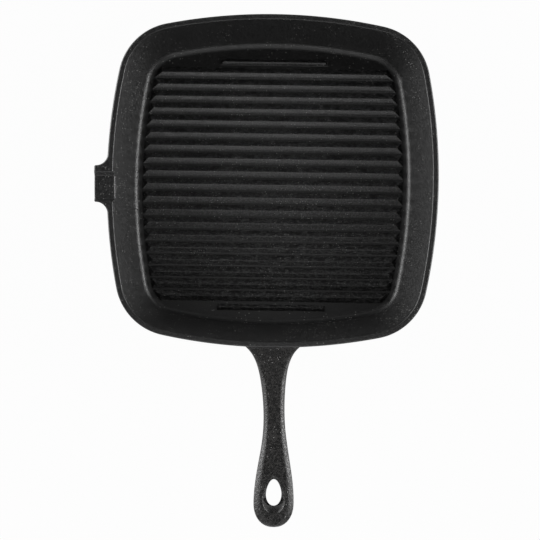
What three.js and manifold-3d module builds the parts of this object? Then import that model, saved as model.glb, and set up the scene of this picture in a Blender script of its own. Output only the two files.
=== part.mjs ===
// Square ribbed grill pan in seasoned cast iron, in millimetres.
// The real pan is one sand casting. It is modelled as the pieces that its pattern is made of: the pan body,
// the handle, the pour spout, nineteen grill ribs across the floor and a short rib at each end of them.
// +Z is up, the handle points along -Y, and the origin is at the middle of the flat underside.
import * as THREE from 'three';
import { mergeVertices } from 'three/addons/utils/BufferGeometryUtils.js';
import Module from 'manifold-3d';

// Pan body
const PAN_WIDTH = 267.9; // across the rim, at the middle of the sides
const PAN_LENGTH = 269.1; // from the far rim to the near rim, at their middle
const PAN_HEIGHT = 42.5; // table to rim
const SIDE_RADIUS = 440; // bulge of the four sides, seen from above
const CORNER_RADIUS = 48; // the four corners, seen from above
const FLOOR_THICKNESS = 4;
const WALL_LEAN = THREE.MathUtils.degToRad(22); // from the vertical
const END_RUN = 0.92; // the far and near walls go inwards by this share of the side walls' run
const RIM_WIDTH = 4.5; // flat top of the wall
const WALL_TAPER = 0.9; // the wall is this much thinner at its foot than at the rim
const RIM_BAND = 2.5; // upright band under the rim, outside
const RIM_OUTER_ROUND = 1.5;
const RIM_INNER_ROUND = 0.8;
const BAND_ROUND = 4;
const BASE_ROUND = 8; // outer edge of the underside
const FLOOR_FILLET = 7.2; // wall to floor, inside

// Grill ribs: hipped ridges that cross the floor from side to side
const RIB_COUNT = 19; // between the two end ribs
const RIB_HEIGHT = 3.5;
const RIB_CREST_WIDTH = 1.2; // flat left between the rounded shoulders
const RIB_SHOULDER = 0.8; // plan width of one rounded shoulder
const RIB_SHOULDER_DROP = 0.1; // height lost at the middle of a shoulder
const RIB_VALLEY = 0.5; // floor left between the two closest ribs
const RIB_CROWDING = 0.045; // the pitch narrows by this share towards both ends
const RIB_END_GAP = 0.2; // the other ribs' feet to the start of the floor fillet
const RIB_SHIFT = 1; // the ribs' middle lies this much nearer to the handle than the pan's
const END_RIB_LENGTH = 90;
const END_RIB_FOOT_WIDTH = 8;
const END_RIB_GAP = 1.8; // end rib foot by the handle to the start of the floor fillet
const END_RIB_VALLEY = 0.65; // floor left between an end rib and the next rib

// Handle
const HANDLE_REACH = 144.7; // past the rim
const HANDLE_OFFSET = 4.45; // to the +X side of the pan's middle
const ROOT_SHIFT = 2.8; // its root lies this much nearer to the pan's middle
const BEND_DISTANCE = 80; // from the rim to where that shift has faded out
const BEND = 1.3; // over 1, the shift fades early
const HANDLE_STEP = 1.8; // its top lies this much under the rim
const HANDLE_RISE = 6; // from its root to its end
const WAIST_WIDTH = 17.1;
const WAIST_DISTANCE = 54; // from the rim
const EYE_SWELL = 1.05; // over 1, the eye swells late after the waist
const ROOT_TAPER = 7; // half-width gained slowly from the waist to the rim
const ROOT_FLARE = 11; // half-width gained in the flare at the rim
const FLARE_REACH = 5.1; // the flare fades by e over this distance
const EYE_WIDTH = 32.4; // widest part, round the hanging hole
const EYE_FROM_END = 19.5; // widest part to the end
const END_SQUARENESS = 2.2; // exponent of the round end, seen from above
const ROOT_THICKNESS = 13.5;
const EYE_THICKNESS = 8.5;
const THINNING = 1.6; // over 1, the handle thins early
const RISING = 1.5; // over 1, the handle rises late
const HANDLE_SQUARENESS = 3.2; // exponent of the rounded section
const END_ROUND = 4; // the end's upper and lower edges
const END_FLAT = 0.15; // the last section stops this much short of the point

// Hanging hole: an egg, narrow towards the pan, in a dished recess
const HOLE_LENGTH = 22.2;
const HOLE_WIDTH = 12.4;
const HOLE_NARROWING = 0.16; // share by which the end towards the pan is slimmer
const HOLE_FROM_END = 27.5; // hole's middle to the handle's end
const DISH_MARGIN = 2.6; // recess round the hole
const DISH_TAIL = 4.4; // more recess towards the handle's end
const DISH_DEPTH = 4;

// Pour spout on the -X side
const SPOUT_OFFSET = -4.25; // from the pan's middle, towards the handle
const SPOUT_REACH = 10.4; // past the rim
const SPOUT_WIDTH = 29.6; // across its tip
const SPOUT_FILLET = 9.5; // plan fillet into the rim
const SPOUT_FLOOR = 3.5; // metal under the channel, at the tip
const SPOUT_GUSSET = 9.5; // more metal under the channel, at the wall
const CHANNEL_OFFSET = -2.55; // from the spout's middle, so the lip towards the handle is the slim one
const CHANNEL_TOP_WIDTH = 22.2;
const CHANNEL_FLOOR_WIDTH = 19;
const CHANNEL_DEPTH = 4;

// Clearance where the handle and the spout meet the wall
const SEAT_GAP = 0.3;

// Fineness of the curves
const SIDE_STEPS = 10;
const CORNER_STEPS = 9;
const HANDLE_STATIONS = 30;
const STATION_CLUSTER = 0.12; // draws the stations together at both ends of the handle
const SECTION_STEPS = 20;
const HOLE_STEPS = 24;
const FILLET_STEPS = 4;
const PLAN_FILLET_STEPS = 8;

// Seasoned cast iron: a little smoother where the pattern was, rougher where the sand was cut by hand
const IRON_METALNESS = 0.6;
const BODY_FINISH = { color: 0x2a2a2b, roughness: 0.5 };
const SPOUT_FINISH = { color: 0x262627, roughness: 0.65 };
const HANDLE_FINISH = { color: 0x28282a, roughness: 0.6 };
const RIB_FINISH = { color: 0x2c2c2d, roughness: 0.55 };

const HALF_WIDTH = PAN_WIDTH / 2;
const HALF_LENGTH = PAN_LENGTH / 2;
const HALF_PI = Math.PI / 2;

// The plan outline is four side arcs and four corner arcs, each tangent to the next. The corner arcs' centres
// lie on the diagonals at (c, c), where (c + k)^2 + c^2 = (side radius - corner radius)^2.
const SIDE_CENTRE = SIDE_RADIUS - HALF_WIDTH;
const ARC_GAP = SIDE_RADIUS - CORNER_RADIUS;
const CORNER_CENTRE = (Math.sqrt(2 * ARC_GAP ** 2 - SIDE_CENTRE ** 2) - SIDE_CENTRE) / 2;
const SIDE_ANGLE = Math.atan2(CORNER_CENTRE, CORNER_CENTRE + SIDE_CENTRE);

// The far and near walls stand steeper than the side walls, so the plan is drawn out along Y, and more so
// the further it is moved inwards.
function stretch(inset) {
  return (HALF_LENGTH - END_RUN * inset) / (HALF_WIDTH - inset);
}

// Points of the plan outline, moved inwards by inset, once round from the start of the +X side.
function outline(inset) {
  const path = new THREE.Path();
  for (let quarter = 0; quarter < 4; quarter += 1) {
    const turn = quarter * HALF_PI;
    const side = new THREE.Vector2(-SIDE_CENTRE, 0).rotateAround(new THREE.Vector2(), turn);
    const corner = new THREE.Vector2(CORNER_CENTRE, CORNER_CENTRE).rotateAround(new THREE.Vector2(), turn);
    path.absarc(side.x, side.y, SIDE_RADIUS - inset, turn - SIDE_ANGLE, turn + SIDE_ANGLE);
    const cornerEnd = turn + HALF_PI - SIDE_ANGLE;
    path.absarc(corner.x, corner.y, CORNER_RADIUS - inset, turn + SIDE_ANGLE, cornerEnd);
  }
  const arcs = path.curves.filter((curve) => curve.isEllipseCurve);
  const points = arcs.flatMap((arc, index) => {
    const steps = index % 2 === 0 ? SIDE_STEPS : CORNER_STEPS;
    return arc.getPoints(steps).slice(0, -1);
  });
  return points.map((point) => new THREE.Vector2(point.x, point.y * stretch(inset)));
}

// Half the width of the plain outline, moved inwards by inset but not drawn out, at a distance from the middle.
function halfChord(inset, away) {
  const sideEnd = (SIDE_RADIUS - inset) * Math.sin(SIDE_ANGLE);
  if (away <= sideEnd) {
    return Math.sqrt((SIDE_RADIUS - inset) ** 2 - away ** 2) - SIDE_CENTRE;
  }
  return CORNER_CENTRE + Math.sqrt((CORNER_RADIUS - inset) ** 2 - (away - CORNER_CENTRE) ** 2);
}

// A polyline with each corner rounded by its own radius. Corners are [x, y, radius], and the first and the
// last only give the direction in which the line comes and goes.
function rounded(corners) {
  const points = [];
  corners.slice(1, -1).forEach(([x, y, radius], inner) => {
    const index = inner + 1;
    const corner = new THREE.Vector2(x, y);
    if (radius === 0) {
      points.push(corner);
      return;
    }
    const before = new THREE.Vector2(...corners[index - 1]).sub(corner).normalize();
    const after = new THREE.Vector2(...corners[index + 1]).sub(corner).normalize();
    const half = Math.acos(before.dot(after)) / 2;
    const middle = before.clone().add(after).normalize();
    const centre = corner.clone().addScaledVector(middle, radius / Math.sin(half));
    const start = corner.clone().addScaledVector(before, radius / Math.tan(half)).sub(centre);
    const turn = Math.sign(before.cross(after)) * (Math.PI - 2 * half);
    for (let step = 0; step <= FILLET_STEPS; step += 1) {
      const spoke = start.clone().rotateAround(new THREE.Vector2(), -turn * (step / FILLET_STEPS));
      points.push(spoke.add(centre));
    }
  });
  return points;
}

// A closed solid through rings of as many points each, with a flat cap on the first and the last ring.
function loft(rings) {
  const size = rings[0].length;
  const points = rings.flat();
  const total = (ring) => ring.reduce((sum, point) => sum.add(point), new THREE.Vector3());
  const middle = (ring) => total(ring).divideScalar(size);
  const first = points.push(middle(rings[0])) - 1;
  const last = points.push(middle(rings.at(-1))) - 1;
  const faces = [];
  for (let j = 0; j < size; j += 1) {
    const k = (j + 1) % size;
    const top = (rings.length - 1) * size;
    faces.push(first, k, j, last, top + j, top + k);
    for (let i = 0; i < rings.length - 1; i += 1) {
      const low = i * size;
      const high = low + size;
      faces.push(low + j, low + k, high + k, low + j, high + k, high + j);
    }
  }
  return new THREE.BufferGeometry().setFromPoints(points).setIndex(faces);
}

const atHeight = (points, z) => points.map((point) => new THREE.Vector3(point.x, point.y, z));

// Boolean solids
const wasm = await Module();
wasm.setup();

function solid(geometry) {
  const bare = geometry.clone();
  bare.deleteAttribute('normal');
  bare.deleteAttribute('uv');
  const merged = mergeVertices(bare);
  const vertProperties = new Float32Array(merged.attributes.position.array);
  const triVerts = new Uint32Array(merged.index.array);
  return new wasm.Manifold(new wasm.Mesh({ numProp: 3, vertProperties, triVerts }));
}

function geometryOf(manifold) {
  const { vertProperties, triVerts } = manifold.getMesh();
  const geometry = new THREE.BufferGeometry();
  geometry.setAttribute('position', new THREE.BufferAttribute(vertProperties, 3));
  geometry.setIndex(new THREE.BufferAttribute(triVerts, 1));
  return geometry;
}

// Pan body: one section, as distance in from the rim and height, carried round the plan outline.
const OUTER_FOOT = (PAN_HEIGHT - RIM_BAND) * Math.tan(WALL_LEAN) + WALL_TAPER;
const INNER_FOOT = RIM_WIDTH + (PAN_HEIGHT - FLOOR_THICKNESS) * Math.tan(WALL_LEAN);
const FLOOR_EDGE = INNER_FOOT + FLOOR_FILLET * Math.tan((HALF_PI - WALL_LEAN) / 2);
const OUTSIDE = [
  [HALF_WIDTH, 0],
  [OUTER_FOOT, 0, BASE_ROUND],
  [0, PAN_HEIGHT - RIM_BAND, BAND_ROUND],
];

function panShell() {
  const section = rounded([
    ...OUTSIDE,
    [0, PAN_HEIGHT, RIM_OUTER_ROUND],
    [RIM_WIDTH, PAN_HEIGHT, RIM_INNER_ROUND],
    [INNER_FOOT, FLOOR_THICKNESS, FLOOR_FILLET],
    [HALF_WIDTH, FLOOR_THICKNESS],
  ]);
  return loft(section.map((point) => atHeight(outline(point.x), point.y)));
}

// The space that the body fills, grown by the seat gap and closed over its top.
function panEnvelope() {
  const above = PAN_HEIGHT + ROOT_THICKNESS;
  const section = rounded([...OUTSIDE, [0, above, 0], [HALF_WIDTH, above]]);
  return loft(section.map((point) => atHeight(outline(point.x - SEAT_GAP), point.y)));
}

// Pour spout: a lip on the wall with a channel that runs on through the wall.
const SPOUT_TIP = -HALF_WIDTH - SPOUT_REACH;
const SPOUT_HALF = SPOUT_WIDTH / 2;
const CHANNEL_MIDDLE = SPOUT_OFFSET + CHANNEL_OFFSET;
const SPOUT_BACK = -HALF_WIDTH + INNER_FOOT;
const SPOUT_TIP_DEPTH = CHANNEL_DEPTH + SPOUT_FLOOR;
const SPOUT_ROOT_DEPTH = SPOUT_TIP_DEPTH + SPOUT_GUSSET;

function pourChannel() {
  const overshoot = SPOUT_REACH;
  const slope = (CHANNEL_TOP_WIDTH - CHANNEL_FLOOR_WIDTH) / 2 / CHANNEL_DEPTH;
  const level = (halfWidth, z) => [
    new THREE.Vector3(SPOUT_TIP - overshoot, CHANNEL_MIDDLE - halfWidth, z),
    new THREE.Vector3(SPOUT_BACK, CHANNEL_MIDDLE - halfWidth, z),
    new THREE.Vector3(SPOUT_BACK, CHANNEL_MIDDLE + halfWidth, z),
    new THREE.Vector3(SPOUT_TIP - overshoot, CHANNEL_MIDDLE + halfWidth, z),
  ];
  const above = PAN_HEIGHT + CHANNEL_DEPTH;
  return loft([
    level(CHANNEL_FLOOR_WIDTH / 2, PAN_HEIGHT - CHANNEL_DEPTH),
    level(CHANNEL_TOP_WIDTH / 2 + CHANNEL_DEPTH * slope, above),
  ]);
}

function spoutPlan() {
  const shape = new THREE.Shape();
  const fillet = SPOUT_FILLET;
  const filletX = -HALF_WIDTH - fillet;
  shape.moveTo(SPOUT_BACK, SPOUT_OFFSET + SPOUT_HALF + fillet);
  shape.lineTo(-HALF_WIDTH, SPOUT_OFFSET + SPOUT_HALF + fillet);
  shape.absarc(filletX, SPOUT_OFFSET + SPOUT_HALF + fillet, fillet, 0, -HALF_PI, true);
  shape.lineTo(SPOUT_TIP, SPOUT_OFFSET + SPOUT_HALF);
  shape.lineTo(SPOUT_TIP, SPOUT_OFFSET - SPOUT_HALF);
  shape.lineTo(filletX, SPOUT_OFFSET - SPOUT_HALF);
  shape.absarc(filletX, SPOUT_OFFSET - SPOUT_HALF - fillet, fillet, HALF_PI, 0, true);
  shape.lineTo(SPOUT_BACK, SPOUT_OFFSET - SPOUT_HALF - fillet);
  const curveSegments = PLAN_FILLET_STEPS;
  return new THREE.ExtrudeGeometry(shape, { depth: PAN_HEIGHT, bevelEnabled: false, curveSegments });
}

function spoutProfile() {
  const width = 2 * (SPOUT_HALF + 2 * SPOUT_FILLET);
  const shape = new THREE.Shape([
    new THREE.Vector2(SPOUT_BACK, PAN_HEIGHT),
    new THREE.Vector2(SPOUT_TIP, PAN_HEIGHT),
    new THREE.Vector2(SPOUT_TIP, PAN_HEIGHT - SPOUT_TIP_DEPTH),
    new THREE.Vector2(-HALF_WIDTH, PAN_HEIGHT - SPOUT_ROOT_DEPTH),
    new THREE.Vector2(SPOUT_BACK, PAN_HEIGHT - SPOUT_ROOT_DEPTH),
  ]);
  const profile = new THREE.ExtrudeGeometry(shape, { depth: width, bevelEnabled: false });
  return profile.rotateX(HALF_PI).translate(0, SPOUT_OFFSET + width / 2, 0);
}

// Handle: rounded sections along a rising, slightly bent line, flared at the wall, slim at the waist and wide
// at the eye.
const EYE_DISTANCE = HANDLE_REACH - EYE_FROM_END;
const HOLE_DISTANCE = HANDLE_REACH - HOLE_FROM_END;

function handleHalfWidth(along) {
  const waist = WAIST_WIDTH / 2;
  const eye = EYE_WIDTH / 2;
  if (along < WAIST_DISTANCE) {
    const flare = ROOT_FLARE * Math.exp(-Math.max(along, 0) / FLARE_REACH);
    return waist + ROOT_TAPER * (1 - Math.max(along, 0) / WAIST_DISTANCE) ** 2 + flare;
  }
  if (along < EYE_DISTANCE) {
    const share = ((along - WAIST_DISTANCE) / (EYE_DISTANCE - WAIST_DISTANCE)) ** EYE_SWELL;
    return waist + (eye - waist) * (1 - Math.cos(Math.PI * share)) / 2;
  }
  const share = (along - EYE_DISTANCE) / (HANDLE_REACH - EYE_DISTANCE);
  return eye * (1 - share ** END_SQUARENESS) ** (1 / END_SQUARENESS);
}

function handleMiddle(along) {
  const toBend = Math.max(1 - Math.max(along, 0) / BEND_DISTANCE, 0);
  return HANDLE_OFFSET - ROOT_SHIFT * toBend ** BEND;
}

function handleTop(along) {
  const share = Math.max(along, 0) / HANDLE_REACH;
  return PAN_HEIGHT - HANDLE_STEP + HANDLE_RISE * share ** RISING;
}

function handleThickness(along) {
  const share = Math.min(Math.max(along, 0) / EYE_DISTANCE, 1);
  return EYE_THICKNESS + (ROOT_THICKNESS - EYE_THICKNESS) * (1 - share) ** THINNING;
}

function handleSection(along) {
  const halfWidth = handleHalfWidth(along);
  const toEnd = Math.min((HANDLE_REACH - along) / END_ROUND, 1);
  const half = handleThickness(along) / 2;
  const rounding = (1 - (1 - toEnd) ** 2) ** 0.5;
  const power = 2 / HANDLE_SQUARENESS;
  const points = [];
  for (let step = 0; step < SECTION_STEPS; step += 1) {
    const angle = (step + 0.5) * 2 * Math.PI / SECTION_STEPS;
    const across = Math.sign(Math.cos(angle)) * Math.abs(Math.cos(angle)) ** power;
    const up = Math.sign(Math.sin(angle)) * Math.abs(Math.sin(angle)) ** power;
    const z = handleTop(along) - half + half * rounding * up;
    points.push(new THREE.Vector3(handleMiddle(along) + halfWidth * across, -HALF_LENGTH - along, z));
  }
  return points;
}

function handleBar() {
  const rings = [];
  const inside = -RIM_WIDTH - ROOT_THICKNESS * Math.tan(WALL_LEAN);
  rings.push(handleSection(inside));
  for (let station = 0; station <= HANDLE_STATIONS; station += 1) {
    const share = station / HANDLE_STATIONS;
    const spread = share - STATION_CLUSTER * Math.sin(2 * Math.PI * share);
    rings.push(handleSection((HANDLE_REACH - END_FLAT) * spread));
  }
  return loft(rings);
}

// Egg outline round the hole's middle, grown by margin, with a longer tail towards the handle's end.
function egg(margin, tail) {
  const points = [];
  for (let step = 0; step < HOLE_STEPS; step += 1) {
    const angle = step * 2 * Math.PI / HOLE_STEPS;
    const away = Math.sin(angle);
    const slim = 1 - HOLE_NARROWING * away;
    const x = (HOLE_WIDTH / 2 * slim + margin) * Math.cos(angle);
    const y = (HOLE_LENGTH / 2 + margin) * away - tail * (1 - away) / 2;
    points.push(new THREE.Vector2(handleMiddle(HOLE_DISTANCE) + x, -HALF_LENGTH - HOLE_DISTANCE + y));
  }
  return points;
}

function holeCutter() {
  const top = handleTop(HOLE_DISTANCE);
  const hole = egg(0, 0);
  return loft([
    atHeight(hole, top - 2 * EYE_THICKNESS),
    atHeight(hole, top - DISH_DEPTH),
    atHeight(egg(DISH_MARGIN, DISH_TAIL), top),
    atHeight(egg(DISH_MARGIN, DISH_TAIL), top + EYE_THICKNESS),
  ]);
}

// The ribs fill the flat floor: the end rib by the handle stops just short of its edge, and the ribs share
// what is left between the end ribs. The two closest ridges lie a rib's foot and a valley apart, and that
// pitch is a fixed share of the span from the first ridge to the last, which gives the width of a foot.
const RIB_FIELD_INSET = FLOOR_EDGE + RIB_END_GAP;
const END_RIB_EDGE = halfChord(FLOOR_EDGE, END_RIB_LENGTH / 2) * stretch(FLOOR_EDGE) - END_RIB_GAP;
const END_RIB_PLACE = END_RIB_EDGE - END_RIB_FOOT_WIDTH / 2 - RIB_SHIFT;
const RIB_FIELD = 2 * (END_RIB_PLACE - END_RIB_VALLEY) - END_RIB_FOOT_WIDTH;
const CLOSEST_SHARE = (1 - RIB_CROWDING) / (RIB_COUNT - 1);
const RIB_FOOT_WIDTH = (RIB_FIELD * CLOSEST_SHARE - RIB_VALLEY) / (1 + CLOSEST_SHARE);
const RIB_SPAN = RIB_FIELD - RIB_FOOT_WIDTH;

// Grill rib: a hipped ridge on the floor. Its foot and crest are four corners each, given by how far they
// lie in from the foot: the ends follow the floor's outline, or stop at a fixed length.
function hippedRidge(y, footWidth, halfLength) {
  const run = (footWidth - RIB_CREST_WIDTH) / 2;
  const slope = RIB_HEIGHT / (run - RIB_SHOULDER / 2);
  const levels = [
    [0, 0],
    [run - RIB_SHOULDER, (run - RIB_SHOULDER) * slope],
    [run - RIB_SHOULDER / 2, RIB_HEIGHT - 2 * RIB_SHOULDER_DROP],
    [run, RIB_HEIGHT],
  ];
  return loft(levels.map(([inset, height]) => {
    const far = y + footWidth / 2 - inset;
    const near = y - footWidth / 2 + inset;
    const z = FLOOR_THICKNESS + height;
    return [
      new THREE.Vector3(-halfLength(near, inset), near, z),
      new THREE.Vector3(halfLength(near, inset), near, z),
      new THREE.Vector3(halfLength(far, inset), far, z),
      new THREE.Vector3(-halfLength(far, inset), far, z),
    ];
  }));
}

function grillRib(y) {
  const halfLength = (at, inset) => {
    const edge = RIB_FIELD_INSET + inset;
    return halfChord(edge, Math.abs(at) / stretch(edge));
  };
  return hippedRidge(y, RIB_FOOT_WIDTH, halfLength);
}

function endRib(y) {
  return hippedRidge(y, END_RIB_FOOT_WIDTH, (at, inset) => END_RIB_LENGTH / 2 - inset);
}

// Place of a ridge: share runs from 1 at the far rib to -1 at the rib by the handle.
function ridgePlace(share) {
  return RIB_SPAN / 2 * (share + RIB_CROWDING * Math.sin(Math.PI * share) / Math.PI) - RIB_SHIFT;
}

// Assembly
const grillPan = new THREE.Group();

function addPiece(name, geometry, finish) {
  const material = new THREE.MeshStandardMaterial({ ...finish, metalness: IRON_METALNESS });
  geometry.computeVertexNormals();
  const mesh = new THREE.Mesh(geometry, material);
  mesh.name = name;
  grillPan.add(mesh);
}

const channel = solid(pourChannel());
const envelope = solid(panEnvelope());

addPiece('pan_body', geometryOf(solid(panShell()).subtract(channel)), BODY_FINISH);

const lip = solid(spoutPlan()).intersect(solid(spoutProfile()));
addPiece('pour_spout', geometryOf(lip.subtract(channel).subtract(envelope)), SPOUT_FINISH);

const bar = solid(handleBar()).subtract(solid(holeCutter()));
addPiece('handle', geometryOf(bar.subtract(envelope)), HANDLE_FINISH);

for (let rib = 0; rib < RIB_COUNT; rib += 1) {
  const share = 1 - 2 * rib / (RIB_COUNT - 1);
  const number = String(rib + 1).padStart(2, '0');
  addPiece(`grill_rib_${number}`, grillRib(ridgePlace(share)), RIB_FINISH);
}
addPiece('far_end_rib', endRib(END_RIB_PLACE - RIB_SHIFT), RIB_FINISH);
addPiece('near_end_rib', endRib(-END_RIB_PLACE - RIB_SHIFT), RIB_FINISH);

export default grillPan;
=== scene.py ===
"""Square ribbed grill pan in seasoned cast iron.

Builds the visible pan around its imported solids: the body with its pour spout, the handle with its hanging
hole, the grill ribs and the studio that they are seen in. Lengths are in metres, and heights start at the
table.
"""
import math
from functools import partial

import bmesh
import bpy
import numpy as np
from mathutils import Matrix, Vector


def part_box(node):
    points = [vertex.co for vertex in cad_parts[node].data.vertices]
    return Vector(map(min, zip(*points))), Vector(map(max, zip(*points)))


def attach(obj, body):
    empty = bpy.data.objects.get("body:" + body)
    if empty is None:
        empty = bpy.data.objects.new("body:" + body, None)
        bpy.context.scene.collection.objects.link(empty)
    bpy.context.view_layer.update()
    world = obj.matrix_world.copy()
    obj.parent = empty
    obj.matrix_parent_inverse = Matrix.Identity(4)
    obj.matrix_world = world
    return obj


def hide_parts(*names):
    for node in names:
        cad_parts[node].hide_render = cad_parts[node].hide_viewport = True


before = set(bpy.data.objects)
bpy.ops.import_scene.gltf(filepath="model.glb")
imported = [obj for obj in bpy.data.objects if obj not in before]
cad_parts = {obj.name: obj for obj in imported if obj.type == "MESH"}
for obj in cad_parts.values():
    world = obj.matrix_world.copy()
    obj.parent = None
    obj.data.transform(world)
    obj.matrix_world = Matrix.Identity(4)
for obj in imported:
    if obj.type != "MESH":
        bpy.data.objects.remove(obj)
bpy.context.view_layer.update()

bl_info = {
    "name": "Square Grill Pan",
    "version": (1, 0, 0),
    "blender": (4, 5, 0),
    "location": "View3D > Sidebar > Grill Pan",
    "description": "Builds a square ribbed grill pan in seasoned cast iron around its packed solids",
    "category": "Add Mesh",
}

MM = 0.001
HALF_PI = math.pi / 2
PHOTO_WIDTH = 540  # pixels
SENSOR_WIDTH = 36  # millimetres
MERGE_DISTANCE = 0.002 * MM
SAME_HEIGHT = 0.0001 * MM
TINY = 1e-6  # keeps a division from zero

# Points of the body's grid
SIDE_COLUMNS = 44
CORNER_COLUMNS = 40
FLAT_ROWS = 8
TIP_COLUMNS = 29
TIP_CORNER_COLUMNS = 7
TIP_FILLET_COLUMNS = 16
SPOUT_CLEAR = 1 * MM  # plain columns keep this far from the spout's

# Points of the handle's grid, and powers that crowd its rows
ROOT_ROWS = 30
GRIP_ROWS = 39
BEFORE_HOLE_ROWS = 13
HOLE_ROWS = 48
END_ROWS = 47
ROOT_RUN = 30 * MM
BEFORE_HOLE_RUN = 6 * MM
ROOT_CROWDING = 1.6
HOLE_CROWDING = 1.7
END_CROWDING = 1.8
TOP_COLUMNS = 41
UNDER_COLUMNS = 24
HOLE_WALL_FACES = 8
EGG_LIMIT = 1.6  # the recess is followed this far from the hole's middle, in half-lengths of the hole

# Points of a rib's grid
RIB_SIDE_COLUMNS = 60
RIB_END_COLUMNS = 16

BODY_LOW, BODY_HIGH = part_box("pan_body")
SPOUT_LOW, SPOUT_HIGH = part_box("pour_spout")
HANDLE_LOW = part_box("handle")[0]
RIB_NODES = sorted(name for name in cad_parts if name.startswith("grill_rib"))
END_RIB_NODES = sorted(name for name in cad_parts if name.endswith("end_rib"))
FLOOR_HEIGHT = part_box(RIB_NODES[0])[0].z


def linear(hex_code):
    """Linear red, green and blue of an sRGB hex colour."""
    shares = np.array([int(hex_code[i:i + 2], 16) for i in (1, 3, 5)]) / 255
    return tuple(np.where(shares <= 0.04045, shares / 12.92, ((shares + 0.055) / 1.055) ** 2.4))


def length(name, description, default):
    """A length property, in metres."""
    return bpy.props.FloatProperty(
        name=name, description=description, default=default, precision=5, unit="LENGTH")


def number(name, description, default):
    """A plain number property."""
    return bpy.props.FloatProperty(name=name, description=description, default=default, precision=4)


def angle(name, description, degrees):
    """An angle property, given in degrees and kept in radians."""
    default = math.radians(degrees)
    return bpy.props.FloatProperty(name=name, description=description, default=default, subtype="ANGLE")


def colour(name, description, hex_code):
    """A colour property, given as sRGB hex and kept linear."""
    return bpy.props.FloatVectorProperty(
        name=name, description=description, default=linear(hex_code), subtype="COLOR", min=0, max=1)


class BodySettings(bpy.types.PropertyGroup):
    """Sizes of the pan body."""

    width: length("Width", "Across the rim, at the middle of the sides", 2 * BODY_HIGH.x)
    front_to_back: length("Front to back", "Far rim to near rim, at their middle", BODY_HIGH.y - BODY_LOW.y)
    height: length("Height", "Table to rim", BODY_HIGH.z)
    side_radius: length("Side radius", "Bulge of the four sides, seen from above", 440 * MM)
    corner_radius: length("Corner radius", "The four corners, seen from above", 48 * MM)
    floor: length("Floor", "Thickness of the floor", FLOOR_HEIGHT)
    lean: angle("Wall lean", "Lean of the wall from the vertical", 22)
    end_run: number("End run", "The far and near walls go inwards by this share of the side walls' run", 0.92)
    rim: length("Rim", "Flat top of the wall", 4.5 * MM)
    taper: length("Wall taper", "The wall is this much thinner at its foot than at the rim", 0.9 * MM)
    band: length("Rim band", "Upright band under the rim, outside", 2.5 * MM)
    outer_round: length("Outer round", "Outer edge of the rim", 1.4 * MM)
    inner_round: length("Inner round", "Inner edge of the rim", 1.2 * MM)
    band_round: length("Band round", "Band to wall, outside", 4 * MM)
    base_round: length("Base round", "Outer edge of the underside", 8 * MM)
    fillet: length("Floor fillet", "Wall to floor, inside", 7.2 * MM)


class SpoutSettings(bpy.types.PropertyGroup):
    """Sizes of the pour spout."""

    offset: length("Offset", "Middle of the spout along the side", (SPOUT_LOW.y + SPOUT_HIGH.y) / 2)
    reach: length("Reach", "Past the rim", -BODY_HIGH.x - SPOUT_LOW.x)
    width: length("Width", "Across the tip", 29.6 * MM)
    fillet: length("Fillet", "Plan fillet into the rim", 9 * MM)
    corner: length("Tip corner", "Plan round at the tip", 1.3 * MM)
    metal: length("Metal", "Thickness under the channel at the tip", 3.5 * MM)
    gusset: length("Gusset", "More thickness under the channel at the wall", 9.5 * MM)
    channel: length("Channel offset", "Channel's middle from the spout's, towards the handle", 2.55 * MM)
    top_width: length("Channel top", "Width of the channel at the rim", 25.6 * MM)
    floor_width: length("Channel floor", "Width of the channel's floor", 17.4 * MM)
    depth: length("Channel depth", "Channel floor under the rim", 4 * MM)
    lip: length("Lip", "Softness of the edge from the channel's floor to the wall", 1.6 * MM)


class RibSettings(bpy.types.PropertyGroup):
    """Sizes of the grill ribs that the solids don't give."""

    end_gap: length("End gap", "Rib foot to the start of the floor fillet", 0.2 * MM)
    crest: length("Crest round", "Radius of the crest", 0.7 * MM)
    foot: length("Foot fillet", "Radius of the fillet at the foot", 0.7 * MM)
    sink: length("Sink", "Depth of the rib's underside in the floor", 0.3 * MM)
    end_share: number("End share", "The end ribs' section is this share of their solids'", 0.7)


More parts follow.
